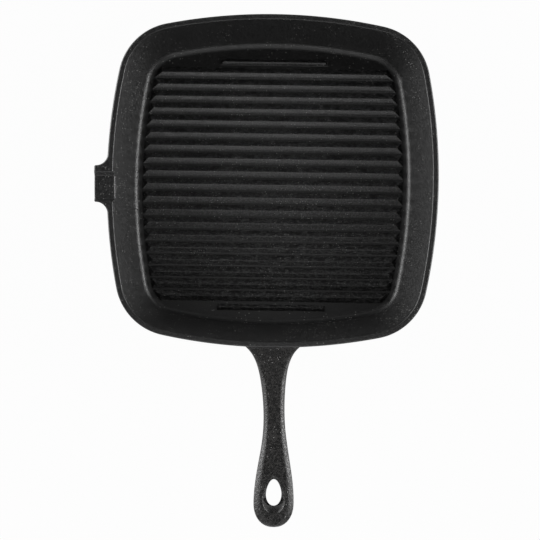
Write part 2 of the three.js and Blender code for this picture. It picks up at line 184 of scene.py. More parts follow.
class HandleSettings(bpy.types.PropertyGroup):
    """Sizes of the handle and its hanging hole."""

    offset: length("Offset", "Middle of the handle from the middle of the pan", 4.45 * MM)
    root_shift: length("Root shift", "The root lies this much nearer to the pan's middle", 2.8 * MM)
    bend_distance: length("Bend distance", "Rim to where the root's shift has faded out", 80 * MM)
    bend: number("Bend", "Over 1, the root's shift fades early", 1.3)
    reach: length("Reach", "Past the rim", BODY_LOW.y - HANDLE_LOW.y)
    step: length("Step", "Top of the root under the rim", 1.8 * MM)
    rise: length("Rise", "From the root to the end", 6 * MM)
    waist: length("Waist", "Width at the slimmest place", 17.1 * MM)
    waist_distance: length("Waist distance", "Waist to the rim", 54 * MM)
    swell: number("Swell", "Over 1, the eye swells late after the waist", 1.05)
    taper: length("Root taper", "Half-width gained slowly from the waist to the rim", 7 * MM)
    flare: length("Root flare", "Half-width gained in the flare at the rim", 11 * MM)
    flare_reach: length("Flare reach", "The flare fades by e over this distance", 5.1 * MM)
    eye: length("Eye", "Width round the hanging hole", 32.4 * MM)
    eye_from_end: length("Eye from end", "Widest place to the end", 19.5 * MM)
    end_power: number("End power", "Exponent of the round end, seen from above", 2.2)
    root_thickness: length("Root thickness", "Thickness at the wall", 13.5 * MM)
    eye_thickness: length("Eye thickness", "Thickness at the eye", 8.5 * MM)
    thinning: number("Thinning", "Over 1, the handle thins early", 1.6)
    rising: number("Rising", "Over 1, the handle rises late", 1.5)
    root_fillet: length("Root fillet", "The top of the root climbs this much to the rim", 0.8 * MM)
    fillet_reach: length("Fillet reach", "The root's fillet ends at this distance from the rim", 5.5 * MM)
    fillet_power: number("Fillet power", "Over 1, the root's fillet is hollow", 2.2)
    power: number("Section power", "Exponent of the rounded section", 3.6)
    bevel: length("Bevel", "Width of the bevels along the top at the waist", 4.0 * MM)
    eye_bevel: length("Eye bevel", "Width of the bevels at the eye", 6.8 * MM)
    bevel_start: length("Bevel start", "The bevels are full this far from the rim, none at half", 26 * MM)
    bevel_growth: number("Bevel growth", "Over 1, the bevels widen late towards the eye", 3)
    bevel_slope: number("Bevel slope", "Drop of the bevels over their width", 0.5)
    bevel_power: number("Bevel power", "Over 1, the bevels are rounded into the top", 1.7)
    end_round: length("End round", "Upper and lower edges of the end", 2.6 * MM)
    hole_length: length("Hole length", "Hanging hole along the handle", 22.2 * MM)
    hole_width: length("Hole width", "Hanging hole across the handle", 12.4 * MM)
    hole_narrowing: number("Hole narrowing", "Share by which the end towards the pan is slimmer", 0.16)
    hole_from_end: length("Hole from end", "Middle of the hole to the end", 27.5 * MM)
    dish_margin: length("Dish margin", "Recess round the hole", 2.6 * MM)
    dish_tail: length("Dish tail", "More recess towards the end", 3.8 * MM)
    dish_depth: length("Dish depth", "Depth of the recess beside the hole", 2.2 * MM)
    tail_depth: length("Tail depth", "Depth of the recess round the end of the hole", 7.2 * MM)
    shelf: number("Shelf", "Share by which the deepest part is wider than the hole at its end", 0.35)
    dish_power: number("Dish power", "Over 1, the recess is rounded over into the hole", 1.3)
    tuck: length("Tuck", "Root inside the wall", 1.6 * MM)
    lean_reach: length("Lean reach", "The root follows the wall's lean this far from the rim", 14 * MM)


class IronSettings(bpy.types.PropertyGroup):
    """Colours and grain of the seasoned iron."""

    body_colour: colour("Body", "Baked-oil film on the pan body", "#1e1e1e")
    rib_colour: colour("Ribs", "Baked-oil film on the ribs", "#2b2b2b")
    handle_colour: colour("Handle", "Baked-oil film on the handle", "#141312")
    body_grain: length("Body grain", "Grain of the moulding sand on the body", 0.8 * MM)
    rib_grain: length("Rib grain", "Grain of the moulding sand on the ribs", 1.15 * MM)
    handle_grain: length("Handle grain", "Coarser grain of the handle", 1.1 * MM)
    body_depth: length("Body depth", "Depth of the grain on the body", 0.1 * MM)
    rib_depth: length("Rib depth", "Depth of the grain on the ribs", 0.15 * MM)
    handle_depth: length("Handle depth", "Depth of the grain on the handle", 0.25 * MM)
    body_roughness: number("Body roughness", "Roughness of the film between the grains", 0.38)
    rib_roughness: number("Rib roughness", "The same on the ribs", 0.3)
    handle_roughness: number("Handle roughness", "The same on the handle", 0.38)
    grain_start: number("Grain start", "A cell with a tone below this has no grain", 0.35)
    patch: length("Film patches", "Size of the patches where stray grains crowd", 22 * MM)
    film_spread: number("Film spread", "The film is rougher by this, times the contrast, on a grain", 0.15)
    body_contrast: number("Body contrast", "A grain is lighter by this share of the film's colour", 1.0)
    rib_contrast: number("Rib contrast", "The same on the ribs", 2.2)
    handle_contrast: number("Handle contrast", "The same on the handle", 2.0)
    speck: length("Speck", "Radius of a stray grain, drawn coarser than it is so that it shows", 0.5 * MM)
    speck_spacing: length("Speck spacing", "Distance between places where a stray grain may lie", 2.0 * MM)
    speck_choice: number("Speck choice", "The larger, the fewer of those places have a grain", 1.72)
    patch_weight: number("Patch weight", "The larger, the more the patches crowd the grains", 2.0)
    speck_height: number("Speck height", "Height of a stray grain, as a share of the depth", 0.3)
    speck_colour: colour("Specks", "Stray grains that stand out of the film", "#747472")
    # Painted shade: these darken the colour towards the floor, standing in for the shade in the valleys and
    # troughs between the ribs.
    painted_shade_height: length("Fat height", "Baked fat on the floor has faded out at this height above it", 5 * MM)
    painted_shade_share: number("Fat shade", "Baked fat darkens the floor to this share", 0.6)


class StageSettings(bpy.types.PropertyGroup):
    """Camera and light."""

    camera_height: length("Camera height", "Camera above the table", 1.0795)
    camera_x: length("Camera X", "Point straight under the camera, across the pan", -1.2 * MM)
    camera_y: length("Camera Y", "Point straight under the camera, along the pan", -72 * MM)
    focal: number("Focal length", "In pixels of the photograph's width", 1287)
    roll: angle("Roll", "Turn of the camera about its own axis", 0.85)
    white_share: number("White share", "Share of the paper's look that no shadow dims", 0.97)
    paper: number("Paper", "Grey of the paper where only the lamps light it", 0.45)


class GrillPanSettings(bpy.types.PropertyGroup):
    """All settings of the pan."""

    body: bpy.props.PointerProperty(type=BodySettings, name="Body", description="Pan body")
    spout: bpy.props.PointerProperty(type=SpoutSettings, name="Spout", description="Pour spout")
    ribs: bpy.props.PointerProperty(type=RibSettings, name="Ribs", description="Grill ribs")
    handle: bpy.props.PointerProperty(type=HandleSettings, name="Handle", description="Handle")
    iron: bpy.props.PointerProperty(type=IronSettings, name="Iron", description="Finish")
    stage: bpy.props.PointerProperty(type=StageSettings, name="Stage", description="Camera and light")


# Meshes

def grid_faces(rows, columns, close_columns=False):
    """Quads of a grid of points that are numbered row by row."""
    i, j = np.meshgrid(np.arange(rows - 1), np.arange(columns - (not close_columns)), indexing="ij")
    after = (j + 1) % columns
    corners = [i * columns + j, i * columns + after, (i + 1) * columns + after, (i + 1) * columns + j]
    return np.stack(corners, axis=-1).reshape(-1, 4)


def make_piece(name, points, faces, material, nodes):
    """A smooth closed mesh that stands for the named solids.

    Points that coincide are merged, which closes seams and poles.
    """
    mesh = bpy.data.meshes.new(name)
    mesh.from_pydata(points.reshape(-1, 3).tolist(), [], faces.tolist())
    work = bmesh.new()
    work.from_mesh(mesh)
    bmesh.ops.remove_doubles(work, verts=work.verts, dist=MERGE_DISTANCE)
    bmesh.ops.dissolve_degenerate(work, edges=work.edges, dist=MERGE_DISTANCE)
    bmesh.ops.recalc_face_normals(work, faces=work.faces)
    work.to_mesh(mesh)
    work.free()
    mesh.shade_smooth()
    mesh.materials.append(material)
    piece = bpy.data.objects.new(name, mesh)
    bpy.context.scene.collection.objects.link(piece)
    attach(piece, "root")
    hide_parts(*nodes)
    return piece


# Plan and section of the pan body

def plan_arcs(body):
    """Centre distance of the side arcs, centre of the corner arcs and half the angle of a side arc.

    A corner arc's centre (c, c) lies on a diagonal, where it is tangent to both sides:
    (c + k)^2 + c^2 = (side radius - corner radius)^2, with k the centre distance of a side arc.
    """
    side_centre = body.side_radius - body.width / 2
    gap = body.side_radius - body.corner_radius
    corner_centre = (math.sqrt(2 * gap ** 2 - side_centre ** 2) - side_centre) / 2
    return side_centre, corner_centre, math.atan2(corner_centre, corner_centre + side_centre)


def stretch(body, inset):
    """Share by which the plan, moved inwards by inset, is drawn out along Y.

    The end walls are steeper than the side walls, so it grows with inset.
    """
    return (body.front_to_back / 2 - body.end_run * inset) / (body.width / 2 - inset)


def plan_outline(body, normal, inset):
    """Points of the plan outline that face along the angle normal, moved inwards by inset.

    Each is its arc's centre plus the arc's radius, less inset, along the normal, drawn out along Y.
    """
    side_centre, corner_centre, half = plan_arcs(body)
    quarter = np.round(normal / HALF_PI) * HALF_PI
    on_side = np.abs(normal - quarter) <= half
    across, along = np.cos(normal), np.sin(normal)
    centre_x = np.where(on_side, -side_centre * np.cos(quarter), corner_centre * np.sign(across))
    centre_y = np.where(on_side, -side_centre * np.sin(quarter), corner_centre * np.sign(along))
    radius = np.where(on_side, body.side_radius, body.corner_radius) - inset
    y = (centre_y + radius * along) * stretch(body, inset)
    return np.stack([centre_x + radius * across, y], axis=-1)


def half_chord(body, inset, y):
    """Half the width of the plan outline, moved inwards by inset, at the distance y from the middle."""
    side_centre, corner_centre, half = plan_arcs(body)
    away = np.abs(y) / stretch(body, inset)
    side = np.sqrt((body.side_radius - inset) ** 2 - away ** 2) - side_centre
    beyond = np.clip(away - corner_centre, 0, body.corner_radius - inset)
    corner = corner_centre + np.sqrt((body.corner_radius - inset) ** 2 - beyond ** 2)
    return np.where(away <= (body.side_radius - inset) * math.sin(half), side, corner)


def rounded_line(corners):
    """Points of a line with rounded corners: (x, y, radius, points in the arc, points in the run before it).

    An arc touches both runs at radius / tan(half the corner's angle) from the corner. The first and the last
    corner only give the direction in which the line comes and goes.
    """
    places = np.array([corner[:2] for corner in corners])
    line = []
    for index, (_, _, radius, arc_points, run_points) in enumerate(corners[1:-1], start=1):
        corner = places[index]
        before = (places[index - 1] - corner) / np.linalg.norm(places[index - 1] - corner)
        after = (places[index + 1] - corner) / np.linalg.norm(places[index + 1] - corner)
        half = math.acos(before @ after) / 2
        middle = (before + after) / np.linalg.norm(before + after)
        centre = corner + middle * radius / math.sin(half)
        share = np.linspace(-1, 1, arc_points)[:, None] * (HALF_PI - half)
        side = (after - before) / np.linalg.norm(after - before)
        arc = centre - radius * middle * np.cos(share) + radius * side * np.sin(share)
        if line:
            line.append(np.linspace(line[-1][-1], arc[0], run_points + 2)[1:-1])
        line.append(arc)
    return np.concatenate(line)


def wall_run(body, drop):
    """Distance that the leaning wall goes inwards over the height drop."""
    return drop * math.tan(body.lean)


def floor_edge(body):
    """Distance from the rim to the flat of the floor."""
    foot = body.rim + wall_run(body, body.height - body.floor)
    return foot + body.fillet * math.tan((HALF_PI - body.lean) / 2)


def body_section(body):
    """The pan's section from the underside over the rim to the floor.

    It is given as distance in from the rim and height.
    """
    outer_foot = wall_run(body, body.height - body.band) + body.taper
    inner_foot = body.rim + wall_run(body, body.height - body.floor)
    return rounded_line([
        (body.width / 2, 0),
        (outer_foot, 0, body.base_round, 9, 0),
        (0, body.height - body.band, body.band_round, 7, 22),
        (0, body.height, body.outer_round, 8, 3),
        (body.rim, body.height, body.inner_round, 7, 9),
        (inner_foot, body.floor, body.fillet, 15, 40),
        (body.width / 2, body.floor),
    ])


# Pour spout

def spout_half_plan(spout):
    """Half the spout's plan from its middle: along the side, out from the rim, and the outward normal.

    It is a straight tip, a round corner, a straight side and a fillet that runs out along the rim.
    """
    half = spout.width / 2
    turn = np.linspace(0, HALF_PI, TIP_CORNER_COLUMNS)
    bend = np.linspace(0, HALF_PI, TIP_FILLET_COLUMNS)
    edge = half - spout.corner
    tip = np.linspace(0, edge, TIP_COLUMNS, endpoint=False)
    corner = [edge + spout.corner * np.sin(turn), spout.reach - spout.corner * (1 - np.cos(turn))]
    fillet = [half + spout.fillet * (1 - np.cos(bend)), spout.fillet * (1 - np.sin(bend))]
    along = np.concatenate([tip, corner[0], fillet[0]])
    out = np.concatenate([np.full(tip.shape, spout.reach), corner[1], fillet[1]])
    facing = np.concatenate([np.full(tip.shape, HALF_PI), HALF_PI - turn, bend])
    return along, out, facing, len(tip)


def spout_columns(spout):
    """Columns of the body's grid round the spout: start on the plain rim and place on the spout.

    A column starts straight behind its place in the channel, and beyond the channel by its share of the way
    along the spout's outline, so that no two columns start at one point.
    """
    along, out, facing, kept = spout_half_plan(spout)
    steps = np.hypot(np.diff(along), np.diff(out))[kept - 1:]
    share = np.concatenate([[0], np.cumsum(steps)]) / steps.sum()
    start = along.copy()
    start[kept - 1:] = along[kept - 1] + (along[-1] - along[kept - 1]) * share
    mirrored = [np.concatenate([-values[:0:-1], values]) for values in (start, along)]
    out = np.concatenate([out[:0:-1], out])
    facing = np.concatenate([math.pi - facing[:0:-1], facing])
    return mirrored[0], mirrored[1], out, facing


def channel_height(body, spout, y):
    """Height of the top surface across the spout: the rim, less a channel with sloping sides."""
    from_middle = np.abs(y - spout.offset + spout.channel)
    slope = (spout.top_width - spout.floor_width) / 2
    share = np.clip((spout.top_width / 2 - from_middle) / slope, 0, 1)
    return body.height - spout.depth * share * share * (3 - 2 * share)


def body_columns(body, spout):
    """Normals of the grid's columns round the pan, and for each the spout's outline point and normal.

    Away from the spout these are the plain outline's own.
    """
    half = plan_arcs(body)[2]
    side = np.linspace(-half, half, SIDE_COLUMNS, endpoint=False)
    corner = np.linspace(half, HALF_PI - half, CORNER_COLUMNS, endpoint=False)
    plain = np.concatenate([np.concatenate([side, corner]) + quarter * HALF_PI for quarter in range(4)])
    start, along, out, facing = spout_columns(spout)
    normal = math.pi - np.arcsin((spout.offset + start) / body.side_radius)
    clear = SPOUT_CLEAR / body.side_radius
    keep = (plain < normal.min() - clear) | (plain > normal.max() + clear)
    order = np.argsort(np.concatenate([plain[keep], normal]))
    rim = plan_outline(body, plain[keep], 0)
    y = spout.offset + along
    behind = plan_outline(body, math.pi - np.arcsin(y / body.side_radius), 0)
    tip = np.stack([behind[:, 0] - out, y], axis=-1)
    plain_facing = np.stack([np.cos(plain[keep]), np.sin(plain[keep])], axis=-1)
    tip_facing = np.stack([-np.sin(facing), np.cos(facing)], axis=-1)
    normals = np.concatenate([plain[keep], normal])[order]
    return normals, np.concatenate([rim, tip])[order], np.concatenate([plain_facing, tip_facing])[order]


def body_points(body, spout):
    """Points of the body with its spout, as rows of the section by columns round the pan.

    A point lies on the plain outline moved inwards, drawn out towards the spout's outline by a weight. The
    weight climbs the gusset under the spout, is 1 at the spout's edge and falls to 0 across the rim's flat
    top. The top is then cut down to the channel, by a minimum of the two heights a and b that is rounded over
    the softness k: (a + b - sqrt((a - b)^2 + k^2)) / 2.
    """
    section = body_section(body)
    inset, height = section[:, 0], section[:, 1]
    on_top = np.flatnonzero(np.isclose(height, body.height, atol=SAME_HEIGHT))
    order = np.arange(len(section))
    tip_bottom = body.height - spout.depth - spout.metal
    gusset_bottom = tip_bottom - spout.gusset
    climb = np.clip((height - gusset_bottom) / (tip_bottom - gusset_bottom), 0, 1)
    flat = (inset[on_top[-1]] - inset) / (inset[on_top[-1]] - inset[on_top[0]])
    weight = np.where(order <= on_top[0], climb, np.clip(flat, 0, 1))
    weight = np.where(order >= on_top[-1], 0, weight)[:, None, None]

    normals, spout_edge, spout_facing = body_columns(body, spout)
    plain = plan_outline(body, normals[None, :], inset[:, None])
    drawn = spout_edge[None] - inset[:, None, None] * spout_facing[None]
    plan = plain + (drawn - plain) * weight

    level = np.broadcast_to(height[:, None], plan.shape[:2])
    top = np.where(plan[..., 0] < 0, channel_height(body, spout, plan[..., 1]), body.height)
    squeezed = tip_bottom + (level - tip_bottom) * (top - tip_bottom) / (body.height - tip_bottom)
    outside = (order <= on_top[0])[:, None] & (level > tip_bottom)
    soft = spout.lip * (body.height - top) / spout.depth
    lower = (level + top - np.sqrt((level - top) ** 2 + soft ** 2)) / 2
    level = np.where(outside, squeezed, lower)
    walls = np.concatenate([plan, level[..., None]], axis=-1)

    share = np.linspace(0, 1, FLAT_ROWS, endpoint=False)[:, None, None]
    flats = [walls[row] * [1, 1, 0] * share + [0, 0, walls[row, 0, 2]] for row in (0, -1)]
    return np.concatenate([flats[0], walls, flats[1][::-1]])


# Handle

def handle_width(handle, along):
    """Half-width of the handle.

    It is a flare that fades by e, a parabola to the waist, a cosine swell and a round end.
    """
    eye_distance = handle.reach - handle.eye_from_end
    waist, eye = handle.waist / 2, handle.eye / 2
    outside = np.maximum(along, 0)
    to_waist = np.clip(1 - outside / handle.waist_distance, 0, 1)
    root = waist + handle.taper * to_waist ** 2 + handle.flare * np.exp(-outside / handle.flare_reach)
    share = np.clip((along - handle.waist_distance) / (eye_distance - handle.waist_distance), 0, 1)
    swell = waist + (eye - waist) * (1 - np.cos(np.pi * share ** handle.swell)) / 2
    past = np.clip((along - eye_distance) / handle.eye_from_end, 0, 1)
    end = eye * (1 - past ** handle.end_power) ** (1 / handle.end_power)
    return np.where(along < handle.waist_distance, root, np.where(along < eye_distance, swell, end))


def handle_middle(handle, along):
    """Middle of the handle across the pan: its offset, less a shift at the root that fades out by a power."""
    to_bend = np.clip(1 - np.maximum(along, 0) / handle.bend_distance, 0, 1)
    return handle.offset - handle.root_shift * to_bend ** handle.bend


def egg_width(handle, y):
    """Half-width of the hanging hole at the distance y from its middle, towards the pan."""
    share = np.clip(2 * y / handle.hole_length, -1, 1)
    return handle.hole_width / 2 * (1 - handle.hole_narrowing * share) * np.sqrt(1 - share ** 2)


def tail_share(handle, y):
    """Share of the way from the hole's middle to where the recess is deepest, squared.

    The recess is deepest from a quarter of the hole's length on.
    """
    return np.clip(-4 * y / handle.hole_length, 0, 1) ** 2


def dish_share(handle, x, y):
    """Share of the recess's depth at a point: 1 at the hole's edge, 0 at the recess's edge and outside it.

    Both edges are eggs, and each egg's level is 1 on its edge: the share divides the way between the two.
    Towards the end the inner egg is wider than the hole, so that the recess slopes along the handle there.
    """
    share = np.clip(2 * y / handle.hole_length, -EGG_LIMIT, EGG_LIMIT)
    slim = handle.hole_width / 2 * (1 - handle.hole_narrowing * share)
    inner = np.hypot(x / (slim * (1 + handle.shelf * tail_share(handle, y))), 2 * y / handle.hole_length)
    half_length = handle.hole_length / 2 + handle.dish_margin + handle.dish_tail / 2
    outer = np.hypot(x / (slim + handle.dish_margin), (y + handle.dish_tail / 2) / half_length)
    return np.clip((1 - outer) / np.maximum(inner - outer, TINY), 0, 1)


def handle_stations(handle):
    """Distances from the rim along the handle: close together at the root, round the hole and at the end.

    A run's rows are crowded to one end by a power of the share of its length, and round the hole by a cosine.
    """
    hole = handle.reach - handle.hole_from_end
    half = handle.hole_length / 2
    end = hole + half
    root = ROOT_RUN * np.linspace(0, 1, ROOT_ROWS) ** ROOT_CROWDING
    grip = np.linspace(ROOT_RUN, hole - half - BEFORE_HOLE_RUN, GRIP_ROWS + 1)[1:]
    before = hole - half - BEFORE_HOLE_RUN * np.linspace(1, 0, BEFORE_HOLE_ROWS + 1)[1:] ** HOLE_CROWDING
    round_hole = hole - half * np.cos(np.linspace(0, np.pi, HOLE_ROWS + 1))[1:]
    after = handle.reach - (handle.reach - end) * np.linspace(1, 0, END_ROWS + 1)[1:] ** END_CROWDING
    return np.concatenate([root, grip, before, round_hole, after])


def handle_points(body, handle):
    """Points of one half of the handle, rows along it by columns round its section, and its rows at the hole.

    The section is a superellipse, |x / half-width|^n + |z / half-thickness|^n = 1, from the middle of the
    top, or the hole's edge, round the side to the middle of the underside, and back up the hole's wall. Along
    the top its edges are bevelled: the half-thickness shrinks by the bevel's slope times its width, times a
    power of the share of the way across the bevel.
    """
    along = handle_stations(handle)
    outside = np.maximum(along, 0)
    hole_y = handle.reach - handle.hole_from_end - along
    inside = egg_width(handle, hole_y)
    outer = handle_width(handle, along)
    eye_distance = handle.reach - handle.eye_from_end
    thin = handle.eye_thickness + (handle.root_thickness - handle.eye_thickness) * np.clip(
        1 - outside / eye_distance, 0, 1) ** handle.thinning
    fillet = handle.root_fillet * np.clip(1 - outside / handle.fillet_reach, 0, 1) ** handle.fillet_power
    thin = thin + fillet
    top = body.height - handle.step + handle.rise * (outside / handle.reach) ** handle.rising + fillet
    to_end = np.clip((handle.reach - along) / handle.end_round, 0, 1)
    rounding = np.sqrt(1 - (1 - to_end) ** 2)

    over, under = np.linspace(0, 1, TOP_COLUMNS), np.linspace(1, 0, UNDER_COLUMNS + 1)[1:]
    sweep = np.concatenate([over, under])[None, :]
    side = np.repeat([1, -1], [TOP_COLUMNS, UNDER_COLUMNS])[None, :]
    grown = np.clip(2 * outside / handle.bevel_start - 1, 0, 1)
    to_eye = np.clip(outside / eye_distance, 0, 1)
    widened = (handle.eye_bevel - handle.bevel) * to_eye ** handle.bevel_growth
    bevel = np.maximum(handle.bevel * grown + widened, TINY)[:, None]
    across = inside[:, None] + (outer - inside)[:, None] * np.sin(HALF_PI * sweep)
    ratio = np.clip(across / np.maximum(outer[:, None], TINY), 0, 1)
    up = side * (1 - ratio ** handle.power) ** (1 / handle.power)
    on_bevel = np.clip(1 - (outer[:, None] - across) / bevel, 0, 1) ** handle.bevel_power
    drop = np.where(up > 0, handle.bevel_slope * bevel * on_bevel, 0)
    z = top[:, None] - thin[:, None] / 2 + rounding[:, None] * up * (thin[:, None] / 2 - drop)
    depth = handle.dish_depth + (handle.tail_depth - handle.dish_depth) * tail_share(handle, hole_y)[:, None]
    z = z - np.where(up > 0, depth * dish_share(handle, across, hole_y[:, None]) ** handle.dish_power, 0)

    rise = np.linspace(0, 1, HOLE_WALL_FACES + 1)[None, 1:-1]
    wall_x = np.repeat(inside[:, None], rise.shape[1], axis=1)
    wall_z = z[:, -1:] + (z[:, :1] - z[:, -1:]) * rise
    x = np.concatenate([across, wall_x], axis=1)
    z = np.concatenate([z, wall_z], axis=1)

    lean = np.clip(1 - outside / handle.lean_reach, 0, 1)[:, None] ** 2
    bulge = x ** 2 / (2 * body.side_radius)
    drop = np.maximum(body.height - body.band - z, 0)
    thinner = body.taper * drop / (body.height - body.band)
    inwards = body.end_run * (wall_run(body, drop) + thinner) + bulge + handle.tuck
    y = -body.front_to_back / 2 - along[:, None] + lean * inwards
    half = np.stack([x, y, z], axis=-1)
    pole = np.broadcast_to(half[:1].mean(axis=1, keepdims=True) * [0, 1, 1], half[:1].shape)
    middle = handle_middle(handle, along)
    at_hole = np.abs(hole_y) < handle.hole_length / 2 + MERGE_DISTANCE
    return np.concatenate([pole, half]), np.append(middle[0], middle), np.append(False, at_hole)


def handle_faces(rows, columns, at_hole):
    """Quads of one half of the handle. The hole's wall has quads only between two rows at the hole."""
    faces = grid_faces(rows, columns, close_columns=True)
    on_section = np.tile(np.arange(columns) < columns - HOLE_WALL_FACES, rows - 1)
    on_hole = np.repeat(at_hole[:-1] & at_hole[1:], columns)
    return faces[on_section | on_hole]


# Grill ribs

def rib_profile(ribs, foot, height):
    """A rib's flank from its sunk edge to its crest, as distance in from the foot and height.

    It is a straight slope with a fillet at the foot and a round crest. The two flanks would meet above the
    crest, by the crest's radius times (1 / cos(slope) - 1).
    """
    half = foot / 2
    slope = math.atan2(height, half)
    peak = height + ribs.crest * (1 / math.cos(slope) - 1)
    line = rounded_line([
        (-half, 0),
        (ribs.foot * math.tan(slope / 2), 0, ribs.foot, 5, 0),
        (half, peak, ribs.crest, 11, 4),
        (foot, 0),
    ])
    line = line[line[:, 0] <= half + MERGE_DISTANCE]
    return np.concatenate([[[line[0, 0], -ribs.sink]], line])


def rib_points(profile, foot, middle, floor, half_length):
    """Points of a hipped ridge: rows up its flanks by columns round its foot.

    A column is a place on the border of a square. Its distance across is stretched to the rib's half-width,
    and its distance along to the rib's half-length there, a function of y, both less the distance in from the
    foot.
    """
    run = np.sin(np.linspace(-HALF_PI, HALF_PI, RIB_SIDE_COLUMNS, endpoint=False))
    side = np.ones_like(run)
    cap = np.sin(np.linspace(-HALF_PI, HALF_PI, RIB_END_COLUMNS, endpoint=False))
    ones = np.ones_like(cap)
    along = np.concatenate([run, ones, -run, -ones])[None, :]
    across = np.concatenate([-side, cap, side, -cap])[None, :]
    inset, height = profile[:, :1], profile[:, 1:]
    y = middle + across * (foot / 2 - inset)
    x = along * (half_length(y) - inset)
    z = np.broadcast_to(floor + height, x.shape)
    return np.stack([x, y, z], axis=-1)


# Materials

def add_node(tree, kind, inputs=None, **settings):
    """A shader node with its settings; an input is given as a value or as another node's output."""
    node = tree.nodes.new(kind)
    for name, value in settings.items():
        setattr(node, name, value)
    for name, value in (inputs or {}).items():
        socket = node.inputs[name]
        if isinstance(value, bpy.types.NodeSocket):
            tree.links.new(value, socket)
        else:
            socket.default_value = value
    return node


def new_tree(name):
    """An empty material, its node tree and its output node."""
    material = bpy.data.materials.new(name)
    material.use_nodes = True
    material.node_tree.nodes.clear()
    return material, material.node_tree, material.node_tree.nodes.new("ShaderNodeOutputMaterial")


def seasoned_iron(name, iron, part):
    """Sand-cast iron under a baked-oil film: near black, satin, with the grain of the moulding sand.

    The film is a clear resin, so it reflects as a dielectric. The sand leaves grains, each with a tone of its
    own, and the film is rougher on the lighter ones. They are drawn coarser than they are, about a millimetre
    wide, so that they show. Stray grains stand out lighter still, more of them in some patches than in
    others. The colour is painted darker towards the floor than on the walls and the crests, a painted shade
    for the valleys and troughs. The settings of a part of the pan start with its name: body, rib or handle.
    """
    tint, grain, contrast, depth, roughness = (
        getattr(iron, f"{part}_{value}") for value in ("colour", "grain", "contrast", "depth", "roughness"))
    mean_grain = 1 / 3  # about what the grains average, so that the mean colour stays as written
    material, tree, output = new_tree(name)
    place = add_node(tree, "ShaderNodeTexCoord").outputs["Object"]
    sand = add_node(tree, "ShaderNodeTexNoise", {
        "Vector": place, "Scale": 1 / grain, "Detail": 1.0, "Roughness": 0.5})
    patch = add_node(tree, "ShaderNodeTexNoise", {
        "Vector": place, "Scale": 1 / iron.patch, "Detail": 2.0, "Roughness": 0.5})
    cells = add_node(tree, "ShaderNodeTexVoronoi", {"Vector": place, "Scale": 1 / grain})
    tone = add_node(tree, "ShaderNodeSeparateColor", {"Color": cells.outputs["Color"]}).outputs["Red"]
    grains = add_node(tree, "ShaderNodeMapRange", {
        "Value": tone, "From Min": iron.grain_start, "From Max": 1.0, "To Min": 0.0, "To Max": 1.0})
    film = add_node(tree, "ShaderNodeMath", {
        0: grains.outputs["Result"], 1: iron.film_spread * contrast, 2: roughness}, operation="MULTIPLY_ADD")

    stray = add_node(tree, "ShaderNodeTexVoronoi", {"Vector": place, "Scale": 1 / iron.speck_spacing})
    crowd = add_node(tree, "ShaderNodeMath", {
        0: patch.outputs["Fac"], 1: iron.patch_weight, 2: stray.outputs["Color"]},
        operation="MULTIPLY_ADD")
    chosen = add_node(tree, "ShaderNodeMath", {
        0: crowd.outputs[0], 1: iron.speck_choice}, operation="GREATER_THAN")
    dot = add_node(tree, "ShaderNodeMapRange", {
        "Value": stray.outputs["Distance"], "From Min": 0.5 * iron.speck / iron.speck_spacing,
        "From Max": iron.speck / iron.speck_spacing, "To Min": 1.0, "To Max": 0.0})
    speck = add_node(tree, "ShaderNodeMath", {
        0: dot.outputs["Result"], 1: chosen.outputs[0]}, operation="MULTIPLY")

    # Painted shade: the colour darkens towards the floor, standing in for the shade in the valleys and
    # troughs between the ribs.
    level = add_node(tree, "ShaderNodeSeparateXYZ", {"Vector": place}).outputs["Z"]
    painted_shade = add_node(tree, "ShaderNodeMapRange", {
        "Value": level, "From Min": FLOOR_HEIGHT, "From Max": FLOOR_HEIGHT + iron.painted_shade_height,
        "To Min": iron.painted_shade_share, "To Max": 1.0})
    grit = add_node(tree, "ShaderNodeMath", {
        0: grains.outputs["Result"], 1: contrast, 2: 1 - contrast * mean_grain}, operation="MULTIPLY_ADD")
    shade = add_node(tree, "ShaderNodeMath", {
        0: grit.outputs[0], 1: painted_shade.outputs["Result"]}, operation="MULTIPLY")
    grey = add_node(tree, "ShaderNodeMix", {
        "Factor": 1.0, "A": (*tint, 1), "B": shade.outputs[0]}, data_type="RGBA", blend_type="MULTIPLY")
    paint = add_node(tree, "ShaderNodeMix", {
        "Factor": speck.outputs[0], "A": grey.outputs["Result"], "B": (*iron.speck_colour, 1)},
        data_type="RGBA")

    height = add_node(tree, "ShaderNodeMath", {
        0: speck.outputs[0], 1: iron.speck_height, 2: sand.outputs["Fac"]}, operation="MULTIPLY_ADD")
    bump = add_node(tree, "ShaderNodeBump", {
        "Height": height.outputs[0], "Distance": depth, "Strength": 1.0})
    surface = add_node(tree, "ShaderNodeBsdfPrincipled", {
        "Base Color": paint.outputs["Result"], "Roughness": film.outputs[0],
        "Normal": bump.outputs["Normal"]})
    tree.links.new(surface.outputs["BSDF"], output.inputs["Surface"])
    return material


def studio_paper(stage):
    """Studio paper: white to the camera and in reflections, but still dimmed a little by shadows."""
    material, tree, output = new_tree("White studio paper")
    ray = add_node(tree, "ShaderNodeLightPath")
    mirrored = add_node(tree, "ShaderNodeMath", {
        0: ray.outputs["Is Glossy Ray"], 1: ray.outputs["Is Transmission Ray"]}, operation="MAXIMUM")
    seen = add_node(tree, "ShaderNodeMath", {
        0: ray.outputs["Is Camera Ray"], 1: mirrored.outputs[0]}, operation="MAXIMUM")
    share = add_node(tree, "ShaderNodeMath", {
        0: seen.outputs[0], 1: stage.white_share}, operation="MULTIPLY")
    paper = add_node(tree, "ShaderNodeBsdfDiffuse", {"Color": (stage.paper, stage.paper, stage.paper, 1)})
    white = add_node(tree, "ShaderNodeEmission", {"Color": (1, 1, 1, 1), "Strength": 1.0})
    mix = add_node(tree, "ShaderNodeMixShader", {
        "Fac": share.outputs[0], 1: paper.outputs["BSDF"], 2: white.outputs["Emission"]})
    tree.links.new(mix.outputs["Shader"], output.inputs["Surface"])
    return material


# Stage

